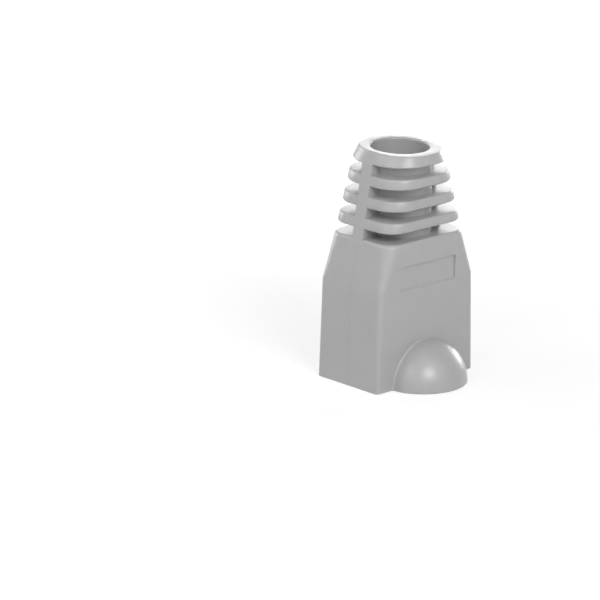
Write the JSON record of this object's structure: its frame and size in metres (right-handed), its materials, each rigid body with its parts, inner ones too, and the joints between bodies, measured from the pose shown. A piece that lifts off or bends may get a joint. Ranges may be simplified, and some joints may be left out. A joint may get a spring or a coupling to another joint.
{
  "type": "rj45 strain relief boot",
  "caption": "Soft moulded strain relief boot for a modular network plug: rectangular plug socket, latch hood, bare label recess, and a tapered ribbed neck with a round cable bore.",
  "frame": {"origin": "the cable axis where it crosses the mouth plane, at the opening of the plug socket", "axes": "+Z runs along the cable axis from the plug socket to the cable end, -Y is the side with the latch hood and the label recess, +X completes the right-handed frame"},
  "size_m": [0.0144, 0.0135, 0.0252],
  "materials": {
    "moulded_pvc": "soft grey plasticised PVC, matte as moulded"
  },
  "bodies": {
    "root": {"boot": "moulded_pvc"}
  },
  "joints": []
}
